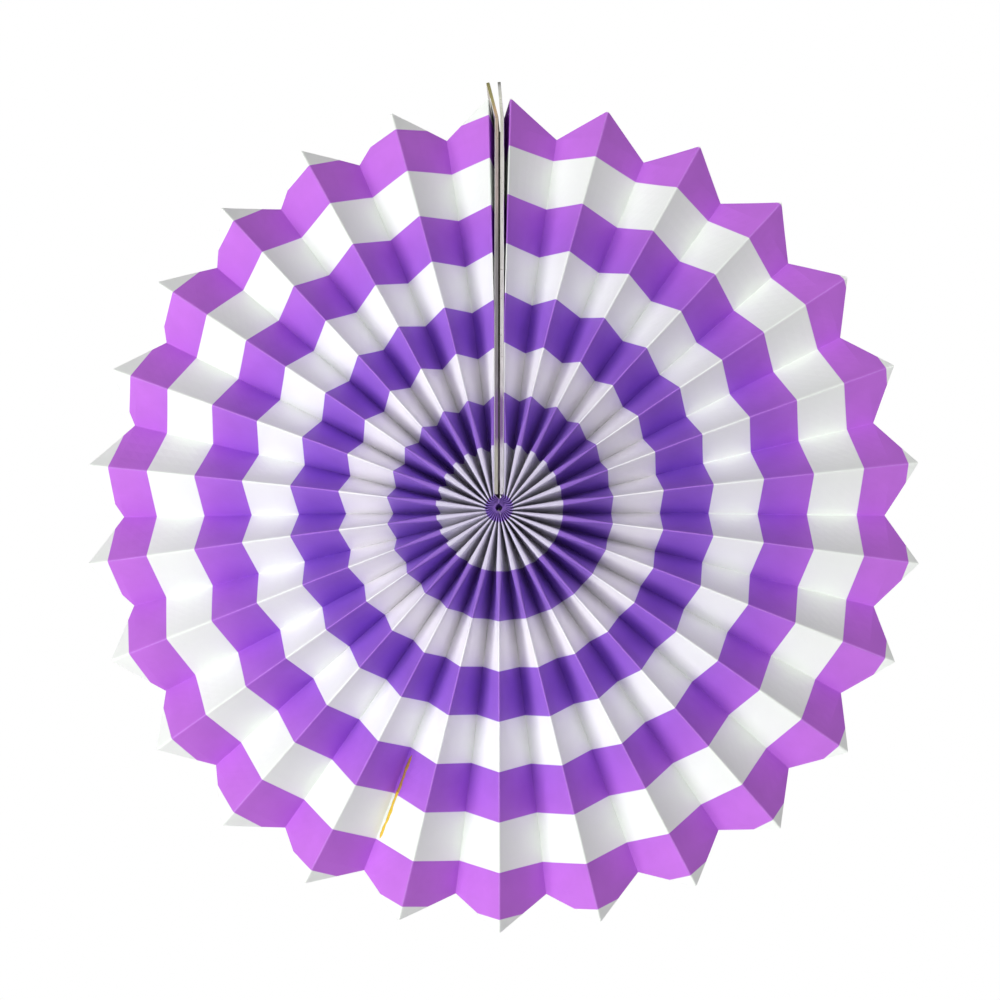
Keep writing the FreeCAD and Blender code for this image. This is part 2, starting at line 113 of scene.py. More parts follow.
def pleatedPaperTree(sizes, printed, plain):
    uneven = {
        # columns of points across a panel, by their distance from its first fold
        "stops": (0, 0.0003, 0.0008, 0.0016, 0.0032, 0.007, 0.0125, 0.018, 0.0235, 0.027, 0.0285,
                  0.0292, 0.0297),
        "rows": 52,
        "toothRows": 7,
        "rowSpread": 1.25,        # rows lie closer together towards the hub
        "creaseSoftness": 0.006,
        "dentScale": 16,
        "turnSeed": 100,          # added to the seed, so that no two chances agree
        "bowSeed": 200,
        "footSpread": 16,         # the end panels part late, just below the cards
        "hubDropReach": 0.003,
        "crownRise": 0.00028,     # a fold is a small round crown, not a knife edge
        "crownFall": 0.008,
        "crownInner": 0.03,       # crowns are widest up to here
        "crownOuter": 0.056,      # and have their least width from here outwards
        "crownOuterShare": 0.2,
        "valleyCrown": 0.15,      # valleys are pressed sharper than ridges
        "mergeDistance": 2e-7,
    }
    tree = bpy.data.node_groups.new("pleatedPaper", "GeometryNodeTree")
    tree.interface.new_socket("Geometry", in_out="INPUT", socket_type="NodeSocketGeometry")
    tree.interface.new_socket("Geometry", in_out="OUTPUT", socket_type="NodeSocketGeometry")
    for name, value in sizes.items():
        kind = "NodeSocketInt" if isinstance(value, int) else "NodeSocketFloat"
        tree.interface.new_socket(name, in_out="INPUT", socket_type=kind)
    given = addNode(tree, "NodeGroupInput")
    known = {name: given.outputs[name] for name in sizes}
    rows = uneven["rows"]
    known["index"] = addNode(tree, "GeometryNodeInputIndex")
    foldExact = addNode(tree, "ShaderNodeMath", {"operation": "DIVIDE"}, {0: known["index"], 1: rows})
    known["fold"] = addNode(tree, "ShaderNodeMath", {"operation": "FLOOR"}, {0: foldExact})
    for name, seedShift in (("depthChance", 0), ("turnChance", uneven["turnSeed"])):
        ownSeed = addNode(tree, "ShaderNodeMath", {"operation": "ADD"}, {0: known["seed"], 1: seedShift})
        chance = addNode(tree, "FunctionNodeRandomValue", {"data_type": "FLOAT"}, {
            2: -1, 3: 1, "ID": known["fold"], "Seed": ownSeed})
        known[name] = chance.outputs[1]

    # Each fold is one line of points from the hub outwards: even folds are ridges at the front,
    # odd ones are valleys. The first two and the last two stand beside the cards.
    foldFormulas = [
        ("row", "MODULO", "index", rows),
        ("valley", "MODULO", "fold", 2),
        ("ridge", "SUBTRACT", 1, "valley"),
        ("front", "MULTIPLY_ADD", "valley", 2, -1),
        # distance from the hub, up to the notch and then up the tooth
        ("rowShare", "DIVIDE", "row", rows - 1 - uneven["toothRows"]),
        ("shareToNotch", "MINIMUM", "rowShare", 1),
        ("spreadShare", "POWER", "shareToNotch", uneven["rowSpread"]),
        ("rowsPastNotch", "SUBTRACT", "row", rows - 1 - uneven["toothRows"]),
        ("rowsInTooth", "MAXIMUM", "rowsPastNotch", 0),
        ("toothShare", "DIVIDE", "rowsInTooth", uneven["toothRows"]),
        # the end panels, glued to the cards, have no notch cut into them
        ("foldsToLast", "SUBTRACT", "lastFold", "fold"),
        ("nearestEnd", "MINIMUM", "fold", "foldsToLast"),
        ("besideCards", "LESS_THAN", "nearestEnd", 1.5),
        ("unnotched", "MAXIMUM", "ridge", "besideCards"),
        ("ridgeToothShare", "MULTIPLY", "toothShare", "unnotched"),
        ("notchRadius", "SUBTRACT", "tipRadius", "toothDepth"),
        ("notchReach", "SUBTRACT", "notchRadius", "hubRadius"),
        ("belowNotch", "MULTIPLY_ADD", "spreadShare", "notchReach", "hubRadius"),
        ("radius", "MULTIPLY_ADD", "ridgeToothShare", "toothDepth", "belowNotch"),
        # folds beside the cards, which stand tilted back and lean to the left above their crease
        ("offsetReach", "SUBTRACT", "radius", "hubRadius"),
        ("footReach", "SUBTRACT", "footRadius", "hubRadius"),
        ("offsetShare", "DIVIDE", "offsetReach", "footReach"),
        ("offsetShareHeld", "MINIMUM", "offsetShare", 1),
        ("partedShare", "POWER", "offsetShareHeld", uneven["footSpread"]),
        ("offsetRange", "SUBTRACT", "besideCard", "besideHub"),
        ("stackOffset", "MULTIPLY_ADD", "partedShare", "offsetRange", "besideHub"),
        # the thread draws the back ends of the pleats a little downwards
        ("pastHub", "DIVIDE", "offsetReach", -uneven["hubDropReach"]),
        ("hubFade", "EXPONENT", "pastHub"),
        ("hubFall", "MULTIPLY", "hubFade", "hubDrop"),
        ("backFall", "MULTIPLY", "hubFall", "valley"),
        ("rightSide", "LESS_THAN", "fold", 1.5),
        ("side", "MULTIPLY_ADD", "rightSide", 2, -1),
        ("leanRange", "SUBTRACT", "rightLean", "leftLean"),
        ("lean", "MULTIPLY_ADD", "rightSide", "leanRange", "leftLean"),
        ("pastCrease", "SUBTRACT", "radius", "creaseHeight"),
        ("rise", "MAXIMUM", "pastCrease", 0),
        ("leanSine", "SINE", "lean"),
        ("leanCosine", "COSINE", "lean"),
        ("leanShift", "MULTIPLY", "rise", "leanSine"),
        ("stackSide", "MULTIPLY", "side", "stackOffset"),
        ("stackX", "SUBTRACT", "stackSide", "leanShift"),
        ("uprightHeight", "MINIMUM", "radius", "creaseHeight"),
        ("stackHeight", "MULTIPLY_ADD", "rise", "leanCosine", "uprightHeight"),
        ("halfWidth", "MULTIPLY", "pleatWidth", 0.5),
        ("stackDepth", "MULTIPLY", "front", "halfWidth"),
        ("tiltSine", "SINE", "tilt"),
        ("tiltCosine", "COSINE", "tilt"),
        ("depthPart", "MULTIPLY", "stackDepth", "tiltCosine"),
        ("stackY", "MULTIPLY_ADD", "stackHeight", "tiltSine", "depthPart"),
        ("depthLift", "MULTIPLY", "stackDepth", "tiltSine"),
        ("heightPart", "MULTIPLY", "stackHeight", "tiltCosine"),
        ("stackLevel", "SUBTRACT", "heightPart", "depthLift"),
        ("stackZ", "SUBTRACT", "stackLevel", "backFall"),
        # folds of the open fan, spread evenly from the first ridge round to the last
        ("besideStack", "ADD", "stackOffset", "paperAndGap"),
        ("seamSine", "SINE", "seamAngle"),
        ("seamOffset", "MULTIPLY", "radius", "seamSine"),
        ("firstOffset", "MAXIMUM", "besideStack", "seamOffset"),
        ("startSine", "DIVIDE", "firstOffset", "radius"),
        ("startAngle", "ARCSINE", "startSine"),
        ("foldsPastFirst", "SUBTRACT", "fold", 2),
        ("openFolds", "SUBTRACT", "lastFold", 4),
        ("turnShare", "DIVIDE", "foldsPastFirst", "openFolds"),
        ("openTurn", "MULTIPLY_ADD", "startAngle", -2, 2 * math.pi),
        ("evenAngle", "MULTIPLY_ADD", "turnShare", "openTurn", "startAngle"),
        ("chord", "MULTIPLY", "radius", "chordShare"),
        ("chordSquare", "POWER", "chord", 2),
        ("widthSquare", "POWER", "pleatWidth", 2),
        ("depthSquare", "SUBTRACT", "widthSquare", "chordSquare"),
        ("depth", "SQRT", "depthSquare"),
        ("halfDepth", "MULTIPLY", "depth", 0.5),
        # the straight cards draw the ridges beside them off their curve
        ("across", "SUBTRACT", "firstOffset", "stackOffset"),
        ("acrossSquare", "POWER", "across", 2),
        ("slantSquare", "SUBTRACT", "widthSquare", "acrossSquare"),
        ("slant", "SQRT", "slantSquare"),
        ("tiltTangent", "TANGENT", "tilt"),
        ("backFold", "MULTIPLY_ADD", "radius", "tiltTangent", "halfWidth"),
        ("firstRidge", "SUBTRACT", "backFold", "slant"),
        ("drawn", "ADD", "firstRidge", "halfDepth"),
        ("foldsAway", "SUBTRACT", "nearestEnd", 2),
        ("settled", "POWER", "settleShare", "foldsAway"),
        ("shift", "MULTIPLY", "drawn", "settled"),
        # hand folding: each fold stands a little out of line, more so towards the rim
        ("free", "GREATER_THAN", "foldsAway", 0.5),
        ("reachShare", "DIVIDE", "radius", "tipRadius"),
        ("freeShare", "MULTIPLY", "free", "reachShare"),
        ("depthOff", "MULTIPLY", "depthChance", "depthUneven"),
        ("depthError", "MULTIPLY", "depthOff", "freeShare"),
        ("turnOff", "MULTIPLY", "turnChance", "turnUneven"),
        ("valleyTurnOff", "MULTIPLY", "turnOff", "valley"),
        ("angle", "MULTIPLY_ADD", "valleyTurnOff", "free", "evenAngle"),
        ("angleSine", "SINE", "angle"),
        ("angleCosine", "COSINE", "angle"),
        ("fanX", "MULTIPLY", "radius", "angleSine"),
        ("fanLevel", "MULTIPLY", "radius", "angleCosine"),
        ("fanZ", "SUBTRACT", "fanLevel", "backFall"),
        ("fanDepth", "MULTIPLY_ADD", "front", "halfDepth", "shift"),
        ("fanY", "ADD", "fanDepth", "depthError"),
    ]
    for name, operation, *parts in foldFormulas:
        inputs = {socket: known.get(part, part) for socket, part in enumerate(parts)}
        known[name] = addNode(tree, "ShaderNodeMath", {"operation": operation}, inputs)
    beside = addNode(tree, "ShaderNodeCombineXYZ", None, {
        0: known["stackX"], 1: known["stackY"], 2: known["stackZ"]})
    fanned = addNode(tree, "ShaderNodeCombineXYZ", None, {
        0: known["fanX"], 1: known["fanY"], 2: known["fanZ"]})
    place = addNode(tree, "GeometryNodeSwitch", {"input_type": "VECTOR"}, {
        "Switch": known["besideCards"], "False": fanned, "True": beside})
    lineCount = addNode(tree, "ShaderNodeMath", {"operation": "ADD"}, {0: known["lastFold"], 1: 1})
    lines = addNode(tree, "GeometryNodeMeshGrid", None, {"Vertices X": lineCount, "Vertices Y": rows})
    marked = addNode(tree, "GeometryNodeStoreNamedAttribute", {"data_type": "FLOAT", "domain": "POINT"}, {
        "Geometry": lines, "Name": "stripRadius", "Value": known["radius"]})
    foldLines = addNode(tree, "GeometryNodeSetPosition", None, {"Geometry": marked, "Position": place})

    # The sheet between the fold lines: each panel has columns of points at set distances
    stopCount = len(uneven["stops"])
    panelFormulas = [
        ("columnExact", "DIVIDE", "index", rows),
        ("column", "FLOOR", "columnExact"),
        ("columnRow", "MODULO", "index", rows),
        ("panelExact", "DIVIDE", "column", stopCount),
        ("panel", "FLOOR", "panelExact"),
        ("stop", "MODULO", "column", stopCount),
        ("foldPoint", "MULTIPLY_ADD", "panel", rows, "columnRow"),
        ("nextPoint", "ADD", "foldPoint", rows),
        ("previousPoint", "SUBTRACT", "foldPoint", rows),
        ("atFold", "LESS_THAN", "stop", 0.5),
        ("pastStart", "GREATER_THAN", "panel", 0.5),
        ("lastPanel", "SUBTRACT", "lastFold", 1),
        ("beforeEnd", "LESS_THAN", "panel", "lastFold"),
        ("innerFold", "MULTIPLY", "atFold", "pastStart"),
        ("roundedFold", "MULTIPLY", "innerFold", "beforeEnd"),
        ("roundShare", "MULTIPLY", "roundedFold", uneven["creaseSoftness"]),
        ("panelsToLast", "SUBTRACT", "lastPanel", "panel"),
        ("panelsAway", "MINIMUM", "panel", "panelsToLast"),
        ("freePanel", "GREATER_THAN", "panelsAway", 1.5),
    ]
    for name, operation, *parts in panelFormulas:
        inputs = {socket: known.get(part, part) for socket, part in enumerate(parts)}
        known[name] = addNode(tree, "ShaderNodeMath", {"operation": operation}, inputs)
    chosen = addNode(tree, "GeometryNodeIndexSwitch", {"data_type": "FLOAT"})
    while len(chosen.index_switch_items) < stopCount:
        chosen.index_switch_items.new()
    for stop, distance in enumerate(uneven["stops"]):
        chosen.inputs[stop + 1].default_value = distance / pleatWidth
    tree.links.new(known["stop"].outputs[0], chosen.inputs[0])
    position = addNode(tree, "GeometryNodeInputPosition")
    radiusField = addNode(tree, "GeometryNodeInputNamedAttribute", {"data_type": "FLOAT"}, {
        "Name": "stripRadius"})
    sampled = {}
    for name, kind, field, point in (
            ("foldPlace", "FLOAT_VECTOR", position, "foldPoint"),
            ("nextPlace", "FLOAT_VECTOR", position, "nextPoint"),
            ("previousPlace", "FLOAT_VECTOR", position, "previousPoint"),
            ("foldRadius", "FLOAT", radiusField, "foldPoint"),
            ("nextRadius", "FLOAT", radiusField, "nextPoint")):
        sampled[name] = addNode(
            tree, "GeometryNodeSampleIndex", {"data_type": kind, "domain": "POINT", "clamp": True},
            {"Geometry": foldLines, "Value": field, "Index": known[point]})
    ruled = addNode(tree, "ShaderNodeMix", {"data_type": "VECTOR"}, {
        0: chosen, 4: sampled["foldPlace"], 5: sampled["nextPlace"]})
    between = addNode(tree, "ShaderNodeMix", {"data_type": "VECTOR"}, {
        0: 0.5, 4: sampled["previousPlace"], 5: sampled["nextPlace"]})
    rounded = addNode(tree, "ShaderNodeMix", {"data_type": "VECTOR"}, {
        0: known["roundShare"], 4: ruled.outputs[1], 5: between.outputs[1]})
    radiusMix = addNode(tree, "ShaderNodeMix", {"data_type": "FLOAT"}, {
        0: chosen, 2: sampled["foldRadius"], 3: sampled["nextRadius"]})
    panelSeed = addNode(tree, "ShaderNodeMath", {"operation": "ADD"}, {
        0: known["seed"], 1: uneven["bowSeed"]})
    chance = addNode(tree, "FunctionNodeRandomValue", {"data_type": "FLOAT"}, {
        2: -1, 3: 1, "ID": known["panel"], "Seed": panelSeed})
    dents = addNode(tree, "ShaderNodeTexNoise", None, {
        "Vector": rounded.outputs[1], "Scale": uneven["dentScale"], "Detail": 1})
    known.update(share=chosen, panelRadius=radiusMix, bowChance=chance.outputs[1],
                 dentNoise=dents.outputs["Fac"])
    # panels bow a little and have soft long dents, none of it at their folds
    bowFormulas = [
        ("shareLeft", "SUBTRACT", 1, "share"),
        ("shareArch", "MULTIPLY", "share", "shareLeft"),
        ("arch", "MULTIPLY", "shareArch", 4),
        ("panelReach", "DIVIDE", "panelRadius", "tipRadius"),
        ("reachArch", "MULTIPLY", "arch", "panelReach"),
        ("freeArch", "MULTIPLY", "reachArch", "freePanel"),
        ("bowed", "MULTIPLY", "bowChance", "bowHeight"),
        ("dentCentred", "SUBTRACT", "dentNoise", 0.5),
        ("surfaceOff", "MULTIPLY_ADD", "dentCentred", "dentDepth", "bowed"),
        ("bowDepth", "MULTIPLY", "surfaceOff", "freeArch"),
        ("stripPlace", "ADD", "panel", "share"),
        ("foldDistance", "MULTIPLY", "share", "pleatWidth"),
        ("nextDistance", "SUBTRACT", "pleatWidth", "foldDistance"),
    ]
    # near each fold the panel stands off sideways, which makes the crown
    for end in ("fold", "next"):
        bowFormulas += [
            (end + "RiseTurn", "DIVIDE", end + "Distance", -uneven["crownRise"]),
            (end + "RiseLeft", "EXPONENT", end + "RiseTurn"),
            (end + "Rise", "SUBTRACT", 1, end + "RiseLeft"),
            (end + "FallTurn", "DIVIDE", end + "Distance", -uneven["crownFall"]),
            (end + "Fall", "EXPONENT", end + "FallTurn"),
            (end + "Crown", "MULTIPLY", end + "Rise", end + "Fall"),
        ]
    bowFormulas += [
        ("fromValley", "MODULO", "panel", 2),
        ("foldShare", "MULTIPLY_ADD", "fromValley", uneven["valleyCrown"] - 1, 1),
        ("nextShare", "MULTIPLY_ADD", "fromValley", 1 - uneven["valleyCrown"], uneven["valleyCrown"]),
        ("ownCrown", "MULTIPLY", "foldCrown", "foldShare"),
        ("otherCrown", "MULTIPLY", "nextCrown", "nextShare"),
        ("crownShape", "SUBTRACT", "ownCrown", "otherCrown"),
        ("crownRoom", "DIVIDE", "panelRadius", "crownReach"),
        ("crownRoomHeld", "MINIMUM", "crownRoom", 1),
        ("crownHere", "MULTIPLY", "crownRoomHeld", "crownSharp"),
        ("crownFree", "MULTIPLY", "crownHere", "freePanel"),
        ("crownWidth", "MULTIPLY", "crownFree", "crownHalf"),
        ("crownOff", "MULTIPLY", "crownWidth", "crownShape"),
    ]
    known["crownSharp"] = addNode(tree, "ShaderNodeMapRange", {"interpolation_type": "SMOOTHSTEP"}, {
        "Value": radiusMix, "From Min": uneven["crownInner"], "From Max": uneven["crownOuter"],
        "To Min": 1, "To Max": uneven["crownOuterShare"]})
    for name, operation, *parts in bowFormulas:
        inputs = {socket: known.get(part, part) for socket, part in enumerate(parts)}
        known[name] = addNode(tree, "ShaderNodeMath", {"operation": operation}, inputs)
    bow = addNode(tree, "ShaderNodeCombineXYZ", None, {1: known["bowDepth"]})
    toNext = addNode(tree, "ShaderNodeVectorMath", {"operation": "SUBTRACT"}, {
        0: sampled["nextPlace"], 1: sampled["foldPlace"]})
    levelled = addNode(tree, "ShaderNodeVectorMath", {"operation": "MULTIPLY"}, {
        0: toNext, 1: (1, 0, 1)})
    sideways = addNode(tree, "ShaderNodeVectorMath", {"operation": "NORMALIZE"}, {0: levelled})
    crowned = addNode(tree, "ShaderNodeVectorMath", {"operation": "SCALE"}, {
        0: sideways, "Scale": known["crownOff"]})
    crownedPlace = addNode(tree, "ShaderNodeVectorMath", {"operation": "ADD"}, {
        0: rounded.outputs[1], 1: crowned})
    bowedPlace = addNode(tree, "ShaderNodeVectorMath", {"operation": "ADD"}, {0: crownedPlace, 1: bow})
    columnCount = addNode(tree, "ShaderNodeMath", {"operation": "MULTIPLY_ADD"}, {
        0: known["lastFold"], 1: stopCount, 2: 1})
    sheet = addNode(tree, "GeometryNodeMeshGrid", None, {"Vertices X": columnCount, "Vertices Y": rows})
    for name, value in (("stripRadius", known["panelRadius"]), ("stripPlace", known["stripPlace"])):
        sheet = addNode(
            tree, "GeometryNodeStoreNamedAttribute", {"data_type": "FLOAT", "domain": "POINT"},
            {"Geometry": sheet, "Name": name, "Value": value})
    folded = addNode(tree, "GeometryNodeSetPosition", None, {"Geometry": sheet, "Position": bowedPlace})
    joined = addNode(tree, "GeometryNodeMergeByDistance", None, {
        "Geometry": folded, "Distance": uneven["mergeDistance"]})

    # Thickness: the plain back moves half a thickness back, and the printed front rises from it
    normal = addNode(tree, "GeometryNodeInputNormal")
    halfBack = addNode(tree, "ShaderNodeMath", {"operation": "MULTIPLY"}, {
        0: known["paperThickness"], 1: -0.5})
    backwards = addNode(tree, "ShaderNodeVectorMath", {"operation": "SCALE"}, {
        0: normal, "Scale": halfBack})
    back = addNode(tree, "GeometryNodeSetPosition", None, {"Geometry": joined, "Offset": backwards})
    raised = addNode(tree, "GeometryNodeExtrudeMesh", {"mode": "FACES"}, {
        "Mesh": back, "Offset Scale": known["paperThickness"], "Individual": False})
    flipped = addNode(tree, "GeometryNodeFlipFaces", None, {"Mesh": back})
    flatEdges = addNode(tree, "GeometryNodeSetShadeSmooth", {"domain": "FACE"}, {
        0: raised, "Selection": raised.outputs["Side"], "Shade Smooth": False})
    edged = addNode(tree, "GeometryNodeSetMaterial", None, {"Geometry": flatEdges, "Material": plain})
    fronted = addNode(tree, "GeometryNodeSetMaterial", None, {
        "Geometry": edged, "Selection": raised.outputs["Top"], "Material": printed})
    backed = addNode(tree, "GeometryNodeSetMaterial", None, {"Geometry": flipped, "Material": plain})
    together = addNode(tree, "GeometryNodeJoinGeometry")
    tree.links.new(backed.outputs[0], together.inputs[0])
    tree.links.new(fronted.outputs[0], together.inputs[0])
    closed = addNode(tree, "GeometryNodeMergeByDistance", None, {
        "Geometry": together, "Distance": uneven["mergeDistance"]})
    real = addNode(tree, "GeometryNodeRealizeInstances", None, {"Geometry": closed})
    addNode(tree, "NodeGroupOutput", None, {0: real})
    return tree


def pleatedPaper(printed, plain):
    sizes = {name: rosette[name] for name in (
        "tipRadius", "toothDepth", "hubRadius", "footRadius", "paperThickness",
        "seamAngle", "settleShare", "leftLean", "rightLean")}
    sizes.update({
        "lastFold": lastFold,
        "pleatWidth": pleatWidth,
        "chordShare": 2 * math.sin(panelTurn / 2),
        "creaseHeight": rosette["tipRadius"] - rosette["creaseDrop"],
        "tilt": math.atan((pleatWidth - rosette["rimDepth"]) / (2 * rosette["tipRadius"])),
        "besideHub": (rosette["hubGap"] + rosette["paperThickness"]) / 2,
        "besideCard": (rosette["tapeThickness"] + rosette["paperThickness"]) / 2 + rosette["cardThickness"],
        "paperAndGap": rosette["paperThickness"] + rosette["seamGap"],
        "hubDrop": 0.0026,
        "crownHalf": 0.0013,
        "crownReach": 0.03,       # narrower than this from the hub, where the pleats lie close
        "bowHeight": 0.00035,
        "dentDepth": 0.0016,
        "depthUneven": 0.0004,
        "turnUneven": math.radians(0.22),
        "seed": 7,
    })
    tree = pleatedPaperTree(sizes, printed, plain)
    holder = linkToScene("paperHolder", bpy.data.meshes.new("paperHolder"))
    modifier = holder.modifiers.new("pleats", "NODES")
    modifier.node_group = tree
    for item in tree.interface.items_tree:
        if item.in_out == "INPUT" and item.name in sizes:
            modifier[item.identifier] = sizes[item.name]
    bpy.context.view_layer.update()
    evaluated = holder.evaluated_get(bpy.context.evaluated_depsgraph_get())
    mesh = bpy.data.meshes.new_from_object(evaluated)
    mesh.name = "pleatedPaper"
    holder.modifiers.remove(modifier)
    bpy.data.objects.remove(holder)
    paper = linkToScene("pleatedPaper", mesh)
    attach(paper, "root")
    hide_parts("pleated_paper")
    return paper


# Finishes

def newMaterial(name):
    material = bpy.data.materials.new(name)
    material.use_nodes = True
    tree = material.node_tree
    tree.nodes.clear()
    return material, tree, addNode(tree, "ShaderNodeTexCoord").outputs["Object"]


def printedRingsGroup():
    # Equal bands across the strip, printed a little askew, so that they drift in and out along
    # it. Gives 1 on bare paper and 0 on ink.
    rings = {
        "firstEdge": 0.0066,
        "pitch": 0.0236,
        "inkBleed": 0.0002,
        "curveRange": 0.02,
        # share of the turn, and how far the bands are shifted out there at driftReach: the shift
        # shrinks towards the hub
        "driftReach": 0.172,
        "drift": [(0, 0.0038), (0.06, 0.0046), (0.15, 0.0044), (0.2, 0.0028), (0.25, 0.002),
                  (0.31, 0.0018), (0.4, 0.0008), (0.5, -0.0002), (0.6, -0.001), (0.75, -0.001),
                  (0.84, -0.002), (0.88, -0.0023), (0.96, -0.0016), (1, -0.0014)],
        # the ink ends short of the tips, and the strip was trimmed askew to it
        "inkEnd": 0.1945,
        "trim": [(0, 0.0048), (0.155, 0.0046), (0.2, 0.002), (0.25, 0.0008), (0.31, 0.0006),
                 (0.5, -0.0008), (0.57, -0.0015), (0.61, -0.0029), (0.76, -0.0042), (0.84, -0.0036),
                 (0.92, -0.0029), (1, -0.0029)],
    }
    group = bpy.data.node_groups.new("printedRings", "ShaderNodeTree")
    group.interface.new_socket("bare", in_out="OUTPUT", socket_type="NodeSocketFloat")
    radius = addNode(group, "ShaderNodeAttribute", {"attribute_name": "stripRadius"}).outputs["Fac"]
    place = addNode(group, "ShaderNodeAttribute", {"attribute_name": "stripPlace"}).outputs["Fac"]
    turn = addNode(group, "ShaderNodeMath", {"operation": "DIVIDE"}, {0: place, 1: lastFold})
    known = {"radius": radius}
    for name in ("drift", "trim"):
        askew = addNode(group, "ShaderNodeFloatCurve", None, {"Value": turn})
        curve = askew.mapping.curves[0]
        for share, shift in rings[name]:
            height = 0.5 + shift / rings["curveRange"]
            if share in (0, 1):
                curve.points[share and -1].location = (share, height)
            else:
                curve.points.new(share, height)
        askew.mapping.update()
        known[name] = askew
    formulas = [
        ("driftCentred", "SUBTRACT", "drift", 0.5),
        ("driftHere", "MULTIPLY", "driftCentred", "radius"),
        ("printed", "MULTIPLY_ADD", "driftHere", -rings["curveRange"] / rings["driftReach"], "radius"),
        ("pastFirst", "SUBTRACT", "printed", rings["firstEdge"] - rings["pitch"] / 2),
        ("band", "PINGPONG", "pastFirst", rings["pitch"]),
        ("pastEdge", "SUBTRACT", "band", rings["pitch"] / 2),
        ("trimCentred", "SUBTRACT", "trim", 0.5),
        ("inkEndHere", "MULTIPLY_ADD", "trimCentred", rings["curveRange"], rings["inkEnd"]),
        ("pastInk", "SUBTRACT", "radius", "inkEndHere"),
        ("barest", "MAXIMUM", "pastEdge", "pastInk"),
    ]
    for name, operation, *parts in formulas:
        inputs = {socket: known.get(part, part) for socket, part in enumerate(parts)}
        known[name] = addNode(group, "ShaderNodeMath", {"operation": operation}, inputs)
    bare = addNode(group, "ShaderNodeMapRange", {"interpolation_type": "SMOOTHSTEP"}, {
        "Value": known["barest"], "From Min": -rings["inkBleed"], "From Max": rings["inkBleed"]})
    addNode(group, "NodeGroupOutput", None, {0: bare})
    return group


